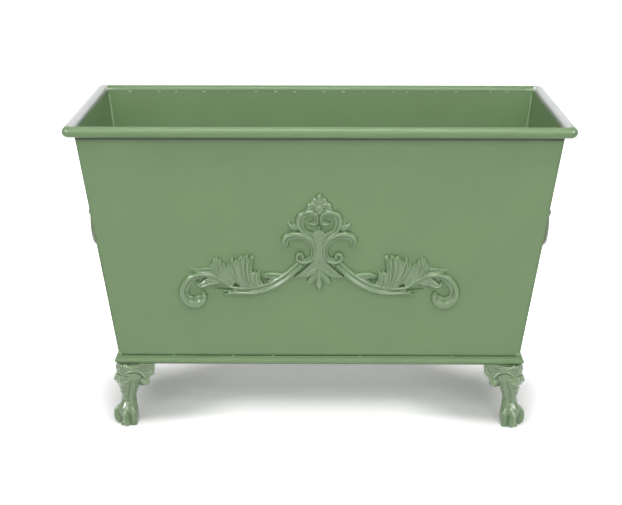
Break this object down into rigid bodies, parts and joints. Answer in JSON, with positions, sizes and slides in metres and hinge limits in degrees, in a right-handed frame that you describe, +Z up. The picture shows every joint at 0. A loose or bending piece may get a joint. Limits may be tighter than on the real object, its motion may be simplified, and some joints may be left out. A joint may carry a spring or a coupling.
{
  "type": "trough planter",
  "caption": "Long sheet-metal planter with flared sides, a rolled tube rim, paw feet, a scroll ornament on the front and a drop handle at each end.",
  "frame": {"origin": "on the floor, under the middle of the trough", "axes": "+X along the length, to the right as the ornament is seen; +Y from the ornamented front to the back; +Z up"},
  "size_m": [0.8, 0.38, 0.527],
  "materials": {
    "green_sheet": "gloss",
    "green_casting": "gloss",
    "grey_rim": "gloss",
    "zinc_fastener": "satin"
  },
  "bodies": {
    "root": {"front_panel": "green_sheet", "back_panel": "green_sheet", "left_end_panel": "green_sheet", "right_end_panel": "green_sheet", "floor_pan": "green_sheet", "corner_seam_front_left": "green_sheet", "corner_seam_front_right": "green_sheet", "corner_seam_back_left": "green_sheet", "corner_seam_back_right": "green_sheet", "base_moulding_front": "green_sheet", "base_moulding_back": "green_sheet", "base_moulding_left": "green_sheet", "base_moulding_right": "green_sheet", "rim_front": "green_sheet", "rim_back": "green_sheet", "rim_left": "grey_rim", "rim_right": "grey_rim", "foot_front_left": "green_casting", "foot_front_right": "green_casting", "foot_back_left": "green_casting", "foot_back_right": "green_casting", "foot_bolt_front_left_1": "zinc_fastener", "foot_bolt_front_left_2": "zinc_fastener", "foot_bolt_front_right_1": "zinc_fastener", "foot_bolt_front_right_2": "zinc_fastener", "foot_bolt_back_left_1": "zinc_fastener", "foot_bolt_back_left_2": "zinc_fastener", "foot_bolt_back_right_1": "zinc_fastener", "foot_bolt_back_right_2": "zinc_fastener", "ornament_centre": "green_casting", "ornament_left_arm": "green_casting", "ornament_right_arm": "green_casting", "left_handle_plate": "green_casting", "left_handle_rivet_1": "green_casting", "left_handle_rivet_2": "green_casting", "left_handle_rivet_3": "green_casting", "left_handle_rivet_4": "green_casting", "right_handle_plate": "green_casting", "right_handle_rivet_1": "green_casting", "right_handle_rivet_2": "green_casting", "right_handle_rivet_3": "green_casting", "right_handle_rivet_4": "green_casting"},
    "left_bail": {"left_handle_bail": "green_casting"},
    "right_bail": {"right_handle_bail": "green_casting"}
  },
  "joints": [
    {"name": "left_handle_swing", "type": "hinge", "parent": "root", "child": "left_bail", "pos_m": [-0.3784, 0, 0.3545], "axis": [0, 1, 0], "range_deg": [-15, 175]},
    {"name": "right_handle_swing", "type": "hinge", "parent": "root", "child": "right_bail", "pos_m": [0.3784, 0, 0.3545], "axis": [0, -1, 0], "range_deg": [-15, 175]}
  ]
}
